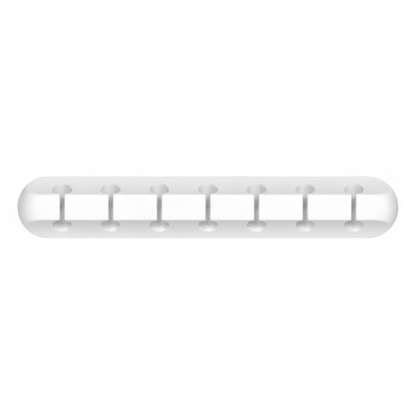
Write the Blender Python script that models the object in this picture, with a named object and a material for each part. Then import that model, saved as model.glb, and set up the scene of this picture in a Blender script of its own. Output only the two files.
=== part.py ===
"""Cable organizer: a moulded silicone strip with seven keyhole channels across it.

The strip is a pill-shaped, domed block. A hollow scoop along each long side leaves a narrow
land on top and a thin flange at the bottom. Each channel is a round bore with a narrow slot
above it, through which a lead is pressed. A foam adhesive pad sits in a shallow recess in the
underside, with its release liner below it.

Metres, +Z up. The strip lies along X, its channels run along Y, and the origin is the middle
of the underside.
"""
import math

import bmesh
import bpy
from mathutils import Vector

# The strip
CHANNEL_COUNT = 7
CHANNEL_PITCH = 0.019
END_REACH = 0.0175             # from the middle of an end channel to the end of the strip
STRIP_WIDTH = 0.024
STRIP_HEIGHT = 0.012
DOME_RADIUS = 0.0085           # rounding of the top edge, all the way round

# The scooped long sides
LAND_WIDTH = 0.010             # what the scoops leave of the top
FLANGE_EDGE = 0.0012           # thickness of the flange at its outer edge
SCOOP_BOW = 0.0009             # how far the hollow side bows in from a straight slope

# The channels
BORE_RADIUS = 0.0036
LIP_THICKNESS = 0.0010         # silicone between the top of the bore and the land
SLOT_WIDTH = 0.0019
EDGE_ROUND = 0.0003            # rounding of the moulded edges

# The underside
PAD_INSET = 0.0020             # from the outline of the strip to the recess
PAD_THICKNESS = 0.0008
LINER_THICKNESS = 0.0002
PAD_PROUD = 0.0003             # how far the foam stands out below the rim round it
FIT_GAP = 0.0003               # between pieces that touch

# How finely the round shapes are divided
END_STEPS = 32
DOME_STEPS = 12
SCOOP_STEPS = 16
SWEEP_STEPS = 20
BORE_STEPS = 44
SLOT_STEPS = 4
LIP_STEPS = 2
CROWN_STEPS = 3
ROUND_STEPS = 2
ROUND_SPARE = 0.0002           # how far a rounded edge's cutter stands out of the surface
CUT_MARGIN = 0.002             # how far a cutter reaches past what it cuts

# Worked out from the sizes above
STRIP_LENGTH = (CHANNEL_COUNT - 1) * CHANNEL_PITCH + 2 * END_REACH
PAD_BOTTOM = LINER_THICKNESS + FIT_GAP
PAD_TOP = PAD_BOTTOM + PAD_THICKNESS
RIM_HEIGHT = PAD_BOTTOM + PAD_PROUD
TOP_HEIGHT = RIM_HEIGHT + STRIP_HEIGHT
BORE_HEIGHT = TOP_HEIGHT - LIP_THICKNESS - BORE_RADIUS
END_CENTRE = STRIP_LENGTH / 2 - STRIP_WIDTH / 2


def clear_scene():
    for item in list(bpy.data.objects):
        bpy.data.objects.remove(item, do_unlink=True)


def make_material(name, colour, roughness):
    material = bpy.data.materials.new(name)
    material.use_nodes = True
    shader = material.node_tree.nodes["Principled BSDF"]
    shader.inputs["Base Color"].default_value = (*colour, 1.0)
    shader.inputs["Roughness"].default_value = roughness
    shader.inputs["Metallic"].default_value = 0.0
    material.diffuse_color = (*colour, 1.0)
    return material


def finish_object(name, bm, material=None, smooth_angle=math.radians(35)):
    """Turns a bmesh into a named object, shaded smooth up to the given angle."""
    bmesh.ops.recalc_face_normals(bm, faces=bm.faces)
    mesh = bpy.data.meshes.new(name)
    bm.to_mesh(mesh)
    bm.free()
    mesh.shade_smooth()
    mesh.set_sharp_from_angle(angle=smooth_angle)
    item = bpy.data.objects.new(name, mesh)
    bpy.context.collection.objects.link(item)
    if material:
        mesh.materials.append(material)
    return item


def pill_outline(length, width, height):
    """Points round a pill shape at one height, anticlockwise seen from above."""
    radius = width / 2
    middle = length / 2 - radius
    points = []
    for side in (1, -1):
        for step in range(END_STEPS + 1):
            angle = math.pi * (step / END_STEPS - 0.5)
            x = side * (middle + radius * math.cos(angle))
            points.append((x, side * radius * math.sin(angle), height))
    return points


def extrude_outline(points, offset):
    """A closed solid: the outline filled, and extruded along the offset."""
    bm = bmesh.new()
    face = bm.faces.new([bm.verts.new(point) for point in points])
    grown = bmesh.ops.extrude_face_region(bm, geom=[face])
    top = [item for item in grown["geom"] if isinstance(item, bmesh.types.BMVert)]
    bmesh.ops.translate(bm, verts=top, vec=offset)
    return bm


def pill_plate(length, width, bottom, top):
    return extrude_outline(pill_outline(length, width, bottom), (0, 0, top - bottom))


def round_rim(bm, height, radius, steps):
    """Rounds over the edges that lie at one height."""
    rim = [edge for edge in bm.edges if all(abs(vert.co.z - height) < 1e-6 for vert in edge.verts)]
    bmesh.ops.bevel(
        bm,
        geom=rim,
        offset=radius,
        offset_type="OFFSET",
        segments=steps,
        profile=0.5,
        affect="EDGES",
    )


def domed_block():
    """The pill-shaped block before it is cut, with its whole top edge rounded over."""
    bm = pill_plate(STRIP_LENGTH, STRIP_WIDTH, RIM_HEIGHT, TOP_HEIGHT)
    round_rim(bm, TOP_HEIGHT, DOME_RADIUS, DOME_STEPS)
    round_rim(bm, RIM_HEIGHT, EDGE_ROUND, ROUND_STEPS)
    return bm


def land_height(y):
    """The height of the top surface, level in the middle and falling with the dome."""
    past = max(abs(y) - (STRIP_WIDTH / 2 - DOME_RADIUS), 0)
    return TOP_HEIGHT - DOME_RADIUS + math.sqrt(DOME_RADIUS ** 2 - past ** 2)


def dome_rise(z):
    """How far a height lies above the foot of the dome: none on the upright wall, all on the land."""
    return min(max(z - (TOP_HEIGHT - DOME_RADIUS), 0), DOME_RADIUS)


def dome_reach(z):
    """The block's radius at one height, from the middle of an end."""
    return STRIP_WIDTH / 2 - DOME_RADIUS + math.sqrt(DOME_RADIUS ** 2 - dome_rise(z) ** 2)


def dome_normal(point):
    """Which way the block's surface faces at a point past the middle of an end."""
    outwards = Vector((math.copysign(abs(point.x) - END_CENTRE, point.x), point.y))
    up = dome_rise(point.z) / DOME_RADIUS
    across = outwards.normalized() * math.sqrt(1 - up ** 2)
    return Vector((across.x, across.y, up))


def side_circle():
    """The centre (y, z) and radius of the arc down the hollow side, and its end angles."""
    top = Vector((LAND_WIDTH / 2, land_height(LAND_WIDTH / 2)))
    foot = Vector((STRIP_WIDTH / 2, RIM_HEIGHT + FLANGE_EDGE))
    chord = foot - top
    radius = (chord.length_squared / 4 + SCOOP_BOW ** 2) / (2 * SCOOP_BOW)
    outwards = Vector((-chord.y, chord.x)).normalized()
    centre = (top + foot) / 2 + outwards * (radius - SCOOP_BOW)
    angles = [math.atan2(end.y - centre.y, end.x - centre.x) % math.tau for end in (top, foot)]
    return centre, radius, angles


def side_distance(z):
    """How far the hollow side lies from the middle plane at one height."""
    centre, radius, _ = side_circle()
    return centre.x - math.sqrt(max(radius ** 2 - (z - centre.y) ** 2, 0))


def round_corner(corner, along, away):
    """Points over a rounded corner, run on a little past both of its surfaces."""
    turn = math.pi - along.angle(away)
    setback = EDGE_ROUND * math.tan(turn / 2)
    centre = corner + (along + away).normalized() * EDGE_ROUND / math.cos(turn / 2)
    start = corner + along * setback - centre
    end = corner + away * setback - centre
    points = []
    for step in range(ROUND_STEPS + 1):
        share = step / ROUND_STEPS
        blend = start * math.sin((1 - share) * turn) + end * math.sin(share * turn)
        points.append(centre + blend / math.sin(turn))
    points[0] += points[0] - points[1]
    points[-1] += points[-1] - points[-2]
    return points


def scoop_cutter(side):
    """What is taken off one long side, as a bar along the whole strip."""
    centre, radius, (first, last) = side_circle()
    arc = []
    for step in range(SCOOP_STEPS + 1):
        angle = first + (last - first) * step / SCOOP_STEPS
        arc.append(centre + radius * Vector((math.cos(angle), math.sin(angle))))
    outer = STRIP_WIDTH / 2 + CUT_MARGIN
    above = TOP_HEIGHT + CUT_MARGIN
    profile = [Vector((arc[0].x, above))] + arc + [Vector((outer, arc[-1].y)), Vector((outer, above))]
    half_length = STRIP_LENGTH / 2 + CUT_MARGIN
    points = [(-half_length, side * y, z) for y, z in profile]
    return extrude_outline(points, (2 * half_length, 0, 0))


def scoop_edge_cutter(side):
    """Rounds the edge all round one scoop: along the land, round both ends, along the flange."""
    centre, radius, (first, last) = side_circle()
    rings = []
    for end in (1, -1):
        for step in range(SWEEP_STEPS + 1):
            share = step / SWEEP_STEPS if end == 1 else 1 - step / SWEEP_STEPS
            angle = first + (last - first) * (1 - math.cos(math.pi * share)) / 2
            y = centre.x + radius * math.cos(angle)
            z = centre.y + radius * math.sin(angle)
            past = math.sqrt(max(dome_reach(z) ** 2 - y ** 2, 0))
            corner = Vector((end * (END_CENTRE + past), side * y, z))
            hollow = Vector((0, side * -math.cos(angle), -math.sin(angle)))
            dome = dome_normal(corner)
            run = dome.cross(hollow).normalized()
            along = run.cross(hollow)
            away = run.cross(dome)
            along *= math.copysign(1, -along.dot(dome))
            away *= math.copysign(1, -away.dot(hollow))
            outside = corner + (hollow + dome).normalized() * EDGE_ROUND
            rings.append(round_corner(corner, along, away) + [outside])
    return loft(rings, closed=True)


def keyhole(offset):
    """Points (x, z) round the keyhole, open at the top, grown outwards by an offset."""
    half_slot = SLOT_WIDTH / 2 + offset
    bore = BORE_RADIUS + offset
    lip_round = max(EDGE_ROUND - offset, EDGE_ROUND / 8)
    rise = math.sqrt((bore + lip_round) ** 2 - (half_slot + lip_round) ** 2)
    turn = math.atan2(rise, half_slot + lip_round)
    slot_top = TOP_HEIGHT + CUT_MARGIN
    slot_foot = BORE_HEIGHT + rise
    half = []
    for step in range(SLOT_STEPS):
        half.append((half_slot, slot_top + (slot_foot - slot_top) * step / SLOT_STEPS))
    for step in range(LIP_STEPS):
        angle = math.pi + turn * step / LIP_STEPS
        x = half_slot + lip_round + lip_round * math.cos(angle)
        half.append((x, slot_foot + lip_round * math.sin(angle)))
    for step in range(BORE_STEPS // 2 + 1):
        angle = turn - (math.pi / 2 + turn) * step / (BORE_STEPS // 2)
        half.append((bore * math.cos(angle), BORE_HEIGHT + bore * math.sin(angle)))
    return half + [(-x, z) for x, z in reversed(half[:-1])]


def round_over(radius, spare):
    """Pairs (offset, depth) round a moulded edge, run on a little past the surface."""
    pairs = []
    for step in range(ROUND_STEPS + 1):
        angle = math.pi / 2 * step / ROUND_STEPS
        pairs.append((radius * (1 - math.cos(angle)), radius * (1 - math.sin(angle))))
    last, end = pairs[-2], pairs[-1]
    reach = spare / (last[1] - end[1])
    pairs[-1] = (end[0] + (end[0] - last[0]) * reach, -spare)
    return pairs


def loft(rings, closed=False):
    """A solid through rings of as many points each, joined into a loop or with both ends filled."""
    bm = bmesh.new()
    loops = [[bm.verts.new(point) for point in ring] for ring in rings]
    if closed:
        loops.append(loops[0])
    else:
        bm.faces.new(loops[0])
        bm.faces.new(loops[-1])
    for near, far in zip(loops, loops[1:]):
        for index in range(len(near)):
            after = (index + 1) % len(near)
            bm.faces.new((near[index], near[after], far[after], far[index]))
    return bm


def channel_cutter(x):
    """One keyhole across the strip, flared at both mouths to round their edges."""
    mouth = round_over(EDGE_ROUND, ROUND_SPARE)
    end = STRIP_WIDTH / 2 + CUT_MARGIN
    back = [[(x + across, side_distance(z) - depth, z) for across, z in keyhole(offset)]
            for offset, depth in mouth]
    back.append([(x + across, end, z) for across, z in keyhole(mouth[-1][0])])
    front = [[(px, -py, pz) for px, py, pz in ring] for ring in reversed(back)]
    return loft(front + back)


def slot_cutter(x):
    """The rounded top edges of one slot, following the crown of the land."""
    half = [(SLOT_WIDTH / 2 + offset, -depth) for offset, depth in round_over(EDGE_ROUND, ROUND_SPARE)]
    profile = half + [(-across, z) for across, z in reversed(half)]
    rings = []
    for step in range(-CROWN_STEPS, CROWN_STEPS + 1):
        y = (LAND_WIDTH / 2 + ROUND_SPARE) * step / CROWN_STEPS
        rings.append([(x + across, y, land_height(y) + z) for across, z in profile])
    return loft(rings)


def cut(body, name, bm):
    """Takes a cutter's shape out of the body; the cutter stays, and isn't rendered."""
    cutter = finish_object(name, bm)
    cutter.hide_render = True
    cutter.display_type = "WIRE"
    modifier = body.modifiers.new(name, "BOOLEAN")
    modifier.operation = "DIFFERENCE"
    modifier.solver = "EXACT"
    modifier.object = cutter


def make_body(material):
    body = finish_object("silicone_body", domed_block(), material)
    for name, side in (("front", -1), ("back", 1)):
        cut(body, f"scoop_{name}", scoop_cutter(side))
        cut(body, f"scoop_edge_{name}", scoop_edge_cutter(side))
    for index in range(CHANNEL_COUNT):
        x = (index - (CHANNEL_COUNT - 1) / 2) * CHANNEL_PITCH
        cut(body, f"channel_{index + 1}", channel_cutter(x))
        cut(body, f"slot_edges_{index + 1}", slot_cutter(x))
    length = STRIP_LENGTH - 2 * PAD_INSET
    width = STRIP_WIDTH - 2 * PAD_INSET
    cut(body, "pad_recess", pill_plate(length, width, RIM_HEIGHT - CUT_MARGIN, PAD_TOP + FIT_GAP))
    return body


def make_pad(material):
    length = STRIP_LENGTH - 2 * PAD_INSET - 2 * FIT_GAP
    width = STRIP_WIDTH - 2 * PAD_INSET - 2 * FIT_GAP
    return finish_object("adhesive_pad", pill_plate(length, width, PAD_BOTTOM, PAD_TOP), material)


def make_liner(material):
    length = STRIP_LENGTH - 2 * PAD_INSET
    width = STRIP_WIDTH - 2 * PAD_INSET
    return finish_object("release_liner", pill_plate(length, width, 0, LINER_THICKNESS), material)


def main():
    clear_scene()
    make_body(make_material("white_silicone", (0.90, 0.90, 0.89), 0.45))
    make_pad(make_material("grey_foam", (0.62, 0.63, 0.63), 0.85))
    make_liner(make_material("liner_paper", (0.85, 0.80, 0.66), 0.55))


main()
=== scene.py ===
"""Looks of the cable organizer: a moulded silicone strip, its foam pad and its paper liner."""

import math

import bpy
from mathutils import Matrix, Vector


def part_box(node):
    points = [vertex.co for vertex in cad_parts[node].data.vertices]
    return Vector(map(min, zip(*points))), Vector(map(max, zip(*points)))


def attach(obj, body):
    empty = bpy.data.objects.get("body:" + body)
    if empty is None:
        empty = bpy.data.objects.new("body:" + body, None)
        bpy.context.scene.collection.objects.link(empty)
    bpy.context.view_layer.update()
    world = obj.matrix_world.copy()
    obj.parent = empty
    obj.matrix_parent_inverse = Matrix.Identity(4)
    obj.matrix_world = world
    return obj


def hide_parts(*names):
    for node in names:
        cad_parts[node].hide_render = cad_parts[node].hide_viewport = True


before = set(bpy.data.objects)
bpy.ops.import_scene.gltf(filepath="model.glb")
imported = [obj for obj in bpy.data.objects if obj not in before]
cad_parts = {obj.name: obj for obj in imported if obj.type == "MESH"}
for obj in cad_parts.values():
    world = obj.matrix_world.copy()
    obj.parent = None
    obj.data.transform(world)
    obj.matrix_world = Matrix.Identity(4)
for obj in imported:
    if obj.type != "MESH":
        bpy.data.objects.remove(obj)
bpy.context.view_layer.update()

# The photograph's frame: the middle of the strip lies at this pixel, seen straight down
PHOTO_PIXELS = 416
METRES_PER_PIXEL = 0.000391
STRIP_PIXEL_X = 207.93
STRIP_PIXEL_Y = 207.25
CAMERA_HEIGHT = 0.6

# The moulded strip
MERGE_DISTANCE = 0.000001
SKIN_VOXEL = 0.0002
SKIN_SMOOTHING = 2
SKIN_TRIANGLES = 190000
END_SMOOTHING = 24              # more on the domed ends, which are soft all over
END_SOFT_FROM = 0.0610          # along the strip: where that starts, and is full
END_SOFT_FULL = 0.0660

# The channels, which hold the cables
CHANNELS_EACH_SIDE = 3          # of the middle one
CHANNEL_PITCH = 0.019
LIP_FOOT = 0.0113               # the lips over the channels lie above this height
LIP_REACH = 0.00135             # and their rounded edges this far from the middle of each slot
LIP_CLOSING = 0.90              # how wide each slot stands, to the solid's
BORE_HEIGHT = 0.0082

# Where the painted shade inside the channels ends, and where it is full
BORE_SHADE_AROUND = (0.0039, 0.0037)   # from the middle line of a bore
BORE_SHADE_ALONG = (0.0628, 0.0625)    # along the strip, either way, past the outermost channels
BORE_SHADE_FRONT = (-0.0080, -0.0060)  # across the strip, in the front mouths
BORE_SHADE_BACK = (0.0100, 0.0080)     # and in the back mouths

# The foam pad and its liner
END_POINTS = 98                 # round both ends together, none of them on the middle line
FOAM_EDGE = 0.00006             # how far the cut edge of the foam is rounded
LINER_EDGE = 0.00003
CREASE_ANGLE = 40               # edges sharper than this show, in degrees

# Colours
SILICONE = (0.920, 0.920, 0.920)
SILICONE_DULL = (0.912, 0.912, 0.912)
SILICONE_CLEAN = (0.928, 0.928, 0.928)
# painted shade: the darker colour given to the inside of the round bores
SILICONE_BORE_SHADE = (0.74, 0.74, 0.74)
FOAM = (0.60, 0.61, 0.61)
FOAM_SKIN = (0.70, 0.71, 0.71)
FOAM_CELL = (0.50, 0.51, 0.51)
LINER = (0.86, 0.83, 0.74)
LINER_DARK = (0.84, 0.80, 0.70)
LINER_PALE = (0.88, 0.85, 0.77)
LINER_FLECK = (0.66, 0.60, 0.48)

# The studio
FLOOR_SIZE = 4.0
FLOOR_DROP = 0.0001             # the strip stands this far above the floor
FLOOR_WHITE = 0.95              # as the camera sees it
FLOOR_GREY = 0.30               # as it lights the strip
FLOOR_GLOW = 0.94               # share of the floor that is plain white as the camera sees it
LAMP_SPREAD = 14                # how wide each soft lamp looks from the object, in degrees
LAMPS = {
    # name: degrees from straight up, degrees round from +X, strength
    "fill_front_left": (45, 240, 1.08),
    "key_back": (30, 108, 0.63),
    "key_back_left": (30, 144, 0.55),
    "side_right": (45, 0, 0.52),
    "low_back_right": (45, 30, 0.51),
    "key_back_right": (30, 36, 0.46),
    "low_front": (75, 270, 0.40),
    "low_back": (75, 90, 0.35),
    "overhead": (15, 60, 0.16),
    "underside": (180, 0, 1.38),
}


def deselect_all():
    bpy.ops.object.select_all(action="DESELECT")


def make_current(item):
    deselect_all()
    item.select_set(True)
    bpy.context.view_layer.objects.active = item


def apply_modifier(item, kind, **settings):
    make_current(item)
    modifier = item.modifiers.new(kind.lower(), kind)
    for name, value in settings.items():
        setattr(modifier, name, value)
    bpy.ops.object.modifier_apply(modifier=modifier.name)


def copy_node(node, name):
    """A merged copy of a CAD node, as the start of the piece that stands for it."""
    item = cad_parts[node].copy()
    item.data = item.data.copy()
    item.name = name
    item.data.name = name
    item.parent = None
    for key in list(item.keys()):
        if key.startswith("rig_"):
            del item[key]
    bpy.context.collection.objects.link(item)
    make_current(item)
    bpy.ops.object.mode_set(mode="EDIT")
    bpy.ops.mesh.select_all(action="SELECT")
    bpy.ops.mesh.remove_doubles(threshold=MERGE_DISTANCE)
    bpy.ops.object.mode_set(mode="OBJECT")
    return item


def select_where(item, kind, chosen):
    """Opens edit mode with those points or edges selected whose points all pass a test."""
    bpy.ops.object.mode_set(mode="OBJECT")
    mesh = item.data
    for parts in (mesh.vertices, mesh.edges, mesh.polygons):
        parts.foreach_set("select", [False] * len(parts))
    if kind == "VERT":
        for point in mesh.vertices:
            point.select = chosen(point.co)
    else:
        for edge in mesh.edges:
            edge.select = all(chosen(mesh.vertices[index].co) for index in edge.vertices)
    bpy.ops.object.mode_set(mode="EDIT")
    bpy.ops.mesh.select_mode(type=kind)


def pill_plate(name, node, edge_round):
    """A flat plate with round ends in the box of a CAD node, its cut edges slightly rounded."""
    low, high = (Vector(corner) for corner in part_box(node))
    size, middle = high - low, (low + high) / 2
    deselect_all()
    bpy.ops.mesh.primitive_cylinder_add(
        vertices=END_POINTS,
        radius=size.y / 2,
        depth=size.z,
        location=middle,
    )
    plate = bpy.context.object
    plate.name = plate.data.name = name
    bpy.ops.object.transform_apply(location=True, rotation=True, scale=True)
    for side in (1, -1):
        select_where(plate, "VERT", lambda point: (point.x - middle.x) * side > 0)
        bpy.ops.transform.translate(value=(side * (size.x - size.y) / 2, 0, 0))
    for side in (1, -1):
        select_where(plate, "EDGE", lambda point: (point.z - middle.z) * side > 0)
        bpy.ops.mesh.bevel(offset=edge_round, segments=2, affect="EDGES")
    bpy.ops.object.mode_set(mode="OBJECT")
    bpy.ops.object.shade_smooth_by_angle(angle=math.radians(CREASE_ANGLE))
    return plate


class Value:
    """A number that varies over the surface; sums and products of values add their own nodes."""

    def __init__(self, nodes, socket):
        self.nodes = nodes
        self.socket = socket

    def _with(self, operation, first, second):
        return self.nodes.value("ShaderNodeMath", {"operation": operation}, {0: first, 1: second})

    def __add__(self, other):
        return self._with("ADD", self, other)

    def __sub__(self, other):
        return self._with("SUBTRACT", self, other)

    def __rsub__(self, other):
        return self._with("SUBTRACT", other, self)

    def __mul__(self, other):
        return self._with("MULTIPLY", self, other)

    __radd__ = __add__
    __rmul__ = __mul__


class Nodes:
    """The nodes of a material or of the studio round it, and the shader that they feed."""

    def __init__(self, owner, shader):
        owner.use_nodes = True
        self.tree = owner.node_tree
        self.shader = self.tree.nodes[shader]

    def set(self, node, sockets):
        for key, value in sockets.items():
            if isinstance(value, Value):
                self.tree.links.new(value.socket, node.inputs[key])
            else:
                node.inputs[key].default_value = value

    def node(self, kind, settings=None, sockets=None):
        """Adds a node: first its settings, then the value or the link of each socket named."""
        made = self.tree.nodes.new(kind)
        for name, value in (settings or {}).items():
            setattr(made, name, value)
        self.set(made, sockets or {})
        return made

    def value(self, kind, settings=None, sockets=None, output=0):
        return Value(self, self.node(kind, settings, sockets).outputs[output])

    def between(self, value, low, high, start=0.0, end=1.0):
        """Maps a value that runs from low to high onto start to end, and no further."""
        sockets = {"Value": value, "From Min": low, "From Max": high}
        sockets.update({"To Min": start, "To Max": end})
        return self.value("ShaderNodeMapRange", sockets=sockets)

    def mix(self, share, colour, other):
        """The colour, or as large a share as given of the other one."""
        start = colour if isinstance(colour, Value) else (*colour, 1)
        sockets = {0: share, 6: start, 7: (*other, 1)}
        return self.value("ShaderNodeMix", {"data_type": "RGBA"}, sockets, output=2)


class Finish(Nodes):
    """A material in the making, with the patterns that follow its piece."""

    def __init__(self, name, colour, constants=None):
        self.material = bpy.data.materials.new(name)
        super().__init__(self.material, "Principled BSDF")
        self.set(self.shader, {"Base Color": (*colour, 1)})
        self.set(self.shader, constants or {})
        self.place = self.value("ShaderNodeTexCoord", output="Object")
        parted = self.node("ShaderNodeSeparateXYZ", sockets={"Vector": self.place})
        self.along, self.across, self.up = (Value(self, output) for output in parted.outputs)

    def noise(self, size, detail, stretch=None):
        """Soft noise around 0.5, whose patches are about as large as the size, in metres."""
        place = self.place
        if stretch:
            place = self.value("ShaderNodeMapping", sockets={"Vector": place, "Scale": stretch})
        sockets = {"Vector": place, "Scale": 1 / size, "Detail": detail}
        return self.value("ShaderNodeTexNoise", sockets=sockets)

    def cells(self, size):
        """The distance to the middle of the nearest cell, for cells about as large as the size."""
        sockets = {"Vector": self.place, "Scale": 1 / size}
        return self.value("ShaderNodeTexVoronoi", sockets=sockets, output="Distance")

    def bump(self, height, depth):
        """A bump whose height runs from 0 to 1 over the given depth in metres."""
        sockets = {"Height": height, "Distance": depth, "Strength": 1.0}
        bump = self.value("ShaderNodeBump", sockets=sockets)
        self.set(self.shader, {"Normal": bump})

    def put_on(self, item):
        item.data.materials.clear()
        item.data.materials.append(self.material)


def bore_shade_mask(finish):
    """Mask of the painted shade inside the channels: one in the round bores and none on the rest,
    fading between the two at their mouths.
    """
    fold = {"operation": "PINGPONG"}
    aside = finish.value("ShaderNodeMath", fold, {0: finish.along, 1: CHANNEL_PITCH / 2})
    place = {"X": aside, "Z": finish.up - BORE_HEIGHT}
    from_axis = finish.value("ShaderNodeCombineXYZ", sockets=place)
    length = {"operation": "LENGTH"}
    distance = finish.value("ShaderNodeVectorMath", length, {0: from_axis}, output="Value")
    along = finish.value("ShaderNodeMath", {"operation": "ABSOLUTE"}, {0: finish.along})
    bore = finish.between(distance, *BORE_SHADE_AROUND)
    channels = finish.between(along, *BORE_SHADE_ALONG)
    front = finish.between(finish.across, *BORE_SHADE_FRONT)
    back = finish.between(finish.across, *BORE_SHADE_BACK)
    return bore * channels * front * back


def white_silicone():
    """Satin white silicone: nearly even in tone, with the fine grain of a blasted mould, and
    painted shade that darkens its round bores.
    """
    finish = Finish("white_silicone", SILICONE, {
        "IOR": 1.41,
        "Subsurface Weight": 0.12,
        "Subsurface Radius": (1, 1, 1),
        "Subsurface Scale": 0.0006,
    })
    cloud = finish.noise(0.018, detail=3)
    grain = finish.noise(0.00025, detail=2)
    peel = finish.noise(0.0016, detail=2)
    wipe = finish.noise(0.006, detail=4, stretch=(0.35, 1, 1))
    tone = finish.between(cloud * 0.7 + grain * 0.3, 0.3, 0.7)
    plain = finish.mix(tone, SILICONE_DULL, SILICONE_CLEAN)
    shade_streaks = finish.noise(0.0008, detail=4, stretch=(1, 0.12, 1))
    # Painted shade: the bores are darkened in colour, in faint streaks, to stand for the shade
    # inside them
    colour = finish.mix(bore_shade_mask(finish) * (0.8 + shade_streaks * 0.4), plain, SILICONE_BORE_SHADE)
    roughness = finish.between(wipe * 0.7 + grain * 0.3, 0.35, 0.65, 0.42, 0.54)
    finish.set(finish.shader, {"Base Color": colour, "Roughness": roughness})
    finish.bump(grain * 0.5 + peel * 0.5, depth=0.00002)
    return finish


def grey_foam():
    """Closed-cell foam with small cut cells along its edge."""
    finish = Finish("grey_foam", FOAM)
    cell = finish.cells(0.00022)
    cloud = finish.noise(0.004, detail=3)
    dark = finish.between(cell, 0.1, 0.7)
    colour = finish.mix(dark * 0.7 + cloud * 0.3, FOAM_SKIN, FOAM_CELL)
    roughness = finish.between(cell, 0.0, 0.8, 0.82, 0.95)
    finish.set(finish.shader, {"Base Color": colour, "Roughness": roughness})
    finish.bump(1 - cell, depth=0.00005)
    return finish


def liner_paper():
    """Pale release paper with faint fibres and a light coating."""
    finish = Finish("liner_paper", LINER)
    fibre = finish.noise(0.0006, detail=5, stretch=(0.25, 1, 1))
    cloud = finish.noise(0.010, detail=4)
    fleck = finish.between(finish.noise(0.0011, detail=1), 0.68, 0.74)
    tone = finish.between(cloud * 0.5 + fibre * 0.5, 0.3, 0.7)
    paper = finish.mix(tone, LINER_DARK, LINER_PALE)
    colour = finish.mix(fleck * 0.35, paper, LINER_FLECK)
    roughness = finish.between(fibre, 0.3, 0.7, 0.36, 0.52)
    finish.set(finish.shader, {"Base Color": colour, "Roughness": roughness})
    finish.bump(fibre * 0.6 + cloud * 0.4, depth=0.00002)
    return finish


def seen_directly(nodes):
    """One where it is seen, also in a reflection or through a clear piece, and none as light."""
    path = nodes.node("ShaderNodeLightPath")
    kinds = ("Camera", "Glossy", "Transmission")
    straight, mirrored, through = (Value(nodes, path.outputs[f"Is {kind} Ray"]) for kind in kinds)
    return nodes.between(straight + mirrored + through, 0.0, 1.0)


def studio_floor():
    """A pale floor that looks plain white from above, and is clear from below."""
    finish = Finish("studio_floor", (FLOOR_GREY,) * 3, {"Roughness": 0.9})
    seen = seen_directly(finish)
    tone = finish.mix(seen, (FLOOR_GREY,) * 3, (FLOOR_WHITE,) * 3)
    finish.set(finish.shader, {"Base Color": tone})
    glow = finish.value("ShaderNodeEmission", sockets={"Color": (1, 1, 1, 1), "Strength": 1.0})
    surface = Value(finish, finish.shader.outputs[0])
    pale = finish.value("ShaderNodeMixShader", sockets={0: seen * FLOOR_GLOW, 1: surface, 2: glow})
    below = finish.value("ShaderNodeNewGeometry", output="Backfacing")
    clear = finish.value("ShaderNodeBsdfTransparent")
    both = finish.value("ShaderNodeMixShader", sockets={0: below, 1: pale, 2: clear})
    finish.set(finish.tree.nodes["Material Output"], {"Surface": both})
    return finish


def close_lips(strip):
    """Draws the two lips over each channel a little together."""
    for turn in range(-CHANNELS_EACH_SIDE, CHANNELS_EACH_SIDE + 1):
        middle = turn * CHANNEL_PITCH
        select_where(
            strip,
            "VERT",
            lambda point: abs(point.x - middle) < LIP_REACH and point.z > LIP_FOOT,
        )
        bpy.ops.transform.resize(value=(LIP_CLOSING, 1, 1), center_override=(middle, 0, 0))
    bpy.ops.object.mode_set(mode="OBJECT")


def mark_ends(item):
    """Names the points of both ends as a group that grows from none to full strength."""
    group = item.vertex_groups.new(name="ends")
    for point in item.data.vertices:
        strength = (abs(point.co.x) - END_SOFT_FROM) / (END_SOFT_FULL - END_SOFT_FROM)
        if strength > 0:
            group.add([point.index], min(strength, 1.0), "REPLACE")


def make_strip():
    """The strip as it leaves its mould: one closed skin, with every edge a little rounded."""
    strip = copy_node("silicone_body", "moulded_strip")
    close_lips(strip)
    apply_modifier(strip, "REMESH", mode="VOXEL", voxel_size=SKIN_VOXEL, adaptivity=0.0)
    apply_modifier(strip, "SMOOTH", factor=0.5, iterations=SKIN_SMOOTHING)
    mark_ends(strip)
    apply_modifier(strip, "SMOOTH", factor=0.5, iterations=END_SMOOTHING, vertex_group="ends")
    strip.vertex_groups.clear()
    triangles = sum(len(face.vertices) - 2 for face in strip.data.polygons)
    apply_modifier(strip, "DECIMATE", ratio=min(SKIN_TRIANGLES / triangles, 1))
    make_current(strip)
    bpy.ops.object.shade_smooth()
    return strip


def dress(piece, node, finish):
    """Puts a finish on a piece and lets it stand for its CAD node."""
    finish.put_on(piece)
    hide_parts(node)
    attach(piece, "root")


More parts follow.
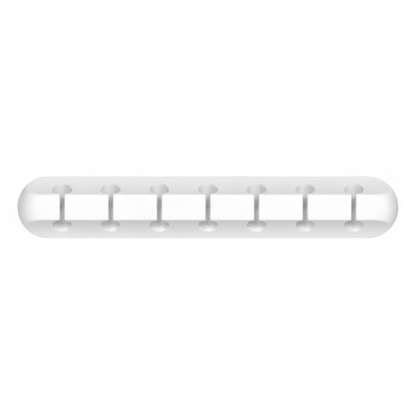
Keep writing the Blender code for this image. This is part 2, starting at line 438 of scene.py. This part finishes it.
def make_floor():
    deselect_all()
    bpy.ops.mesh.primitive_plane_add(size=FLOOR_SIZE, location=(0, 0, -FLOOR_DROP))
    floor = bpy.context.object
    floor.name = "floor"
    floor.visible_shadow = False
    studio_floor().put_on(floor)


def make_lamp(name, tilt, turn, strength):
    """A soft lamp far off, so many degrees from straight up and so many round from +X."""
    light = bpy.data.lights.new(name, "SUN")
    light.energy = strength
    light.angle = math.radians(LAMP_SPREAD)
    lamp = bpy.data.objects.new(name, light)
    bpy.context.scene.collection.objects.link(lamp)
    lean, way = math.radians(tilt), math.radians(turn)
    aside = math.sin(lean)
    towards = Vector((aside * math.cos(way), aside * math.sin(way), math.cos(lean)))
    lamp.location = towards
    lamp.rotation_euler = towards.to_track_quat("Z", "Y").to_euler()


def make_world():
    """Plain white all round, to the camera and to reflections, which lights nothing itself."""
    world = bpy.data.worlds.new("studio")
    white = Nodes(world, "Background")
    white.set(white.shader, {"Color": (1, 1, 1, 1), "Strength": seen_directly(white)})
    bpy.context.scene.world = world


def make_camera():
    """Looks straight down, with the strip where the photograph has it."""
    data = bpy.data.cameras.new("camera")
    data.type = "ORTHO"
    data.ortho_scale = PHOTO_PIXELS * METRES_PER_PIXEL
    camera = bpy.data.objects.new("camera", data)
    bpy.context.scene.collection.objects.link(camera)
    across = (PHOTO_PIXELS / 2 - STRIP_PIXEL_X) * METRES_PER_PIXEL
    up = (STRIP_PIXEL_Y - PHOTO_PIXELS / 2) * METRES_PER_PIXEL
    camera.location = (across, up, CAMERA_HEIGHT)
    bpy.context.scene.camera = camera


dress(make_strip(), "silicone_body", white_silicone())
foam_pad = pill_plate("foam_pad", "adhesive_pad", FOAM_EDGE)
dress(foam_pad, "adhesive_pad", grey_foam())
paper_liner = pill_plate("paper_liner", "release_liner", LINER_EDGE)
dress(paper_liner, "release_liner", liner_paper())

make_floor()
make_world()
for name, (tilt, turn, strength) in LAMPS.items():
    make_lamp(name, tilt, turn, strength)
make_camera()
bpy.context.scene.view_settings.view_transform = "Standard"


def plain(bounds):
    """A box as plain lists of numbers."""
    return [[float(value) for value in corner] for corner in bounds]
